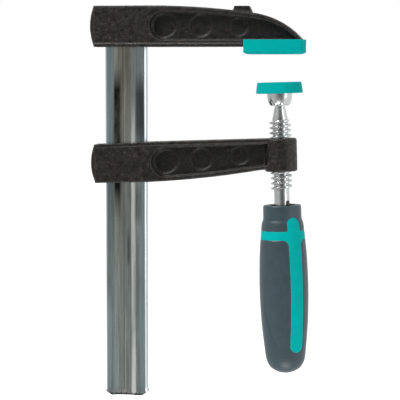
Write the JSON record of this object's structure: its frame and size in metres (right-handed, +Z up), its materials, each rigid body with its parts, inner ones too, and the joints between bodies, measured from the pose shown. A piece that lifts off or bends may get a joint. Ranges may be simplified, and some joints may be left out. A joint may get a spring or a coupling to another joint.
{
  "type": "f clamp",
  "caption": "Screw clamp with a cast fixed arm on a grooved steel rail, a sliding arm, a swivelling pressure plate and a straight two-tone grip.",
  "frame": {"origin": "centre of the fixed jaw's clamping face, on the line of the spindle when the sliding arm is square", "axes": "+Z up along the rail from the screw end to the fixed arm, +X from the rail out to the jaws, -Y towards the front"},
  "size_m": [0.1313, 0.0294, 0.2353],
  "materials": {
    "zinc_rail": "zinc plated rolled steel, drawn streaks",
    "zinc_screw": "bright zinc plated, turned and rolled",
    "cast_arm": "sand cast, thin black coating",
    "soft_cap": "moulded, satin",
    "grip_core": "moulded, satin",
    "grip_skin": "soft moulded elastomer, matte"
  },
  "bodies": {
    "frame": {"rail": "zinc_rail", "fixed_arm": "cast_arm", "fixed_jaw_cap": "soft_cap"},
    "guide": {"rear_guide_pin": "zinc_screw"},
    "arm": {"sliding_arm": "cast_arm"},
    "ball": {"spindle_ball": "zinc_screw"},
    "screw": {"spindle": "zinc_screw", "handle_core": "grip_core", "grip_collar": "grip_skin", "grip_sleeve": "grip_skin"},
    "plate": {"pressure_plate": "zinc_screw", "pressure_plate_cap": "soft_cap"}
  },
  "joints": [
    {"name": "arm_slide", "type": "slide", "parent": "frame", "child": "guide", "axis": [0, 0, 1], "range_m": [-0.122, 0.003]},
    {"name": "arm_tilt", "type": "hinge", "parent": "guide", "child": "arm", "pos_m": [-0.1071, 0, -0.05751], "axis": [0, -1, 0], "range_deg": [-2, 0]},
    {"name": "spindle_advance", "type": "slide", "parent": "arm", "child": "ball", "axis": [-0.027, 0, 0.9996], "range_m": [-0.015, 0.009]},
    {"name": "spindle_turn", "type": "hinge", "parent": "ball", "child": "screw", "pos_m": [0.0006, 0, -0.06], "axis": [-0.027, 0, 0.9996], "range_deg": [-1801, 1081]},
    {"name": "plate_swivel", "type": "hinge", "parent": "ball", "child": "plate", "pos_m": [-0.00031, 0, -0.02651], "axis": [0, -1, 0], "range_deg": [-15, 15]}
  ],
  "couplings": [
    {"joint": "spindle_turn", "follows": "spindle_advance", "rad_per_m": 2094.4}
  ]
}
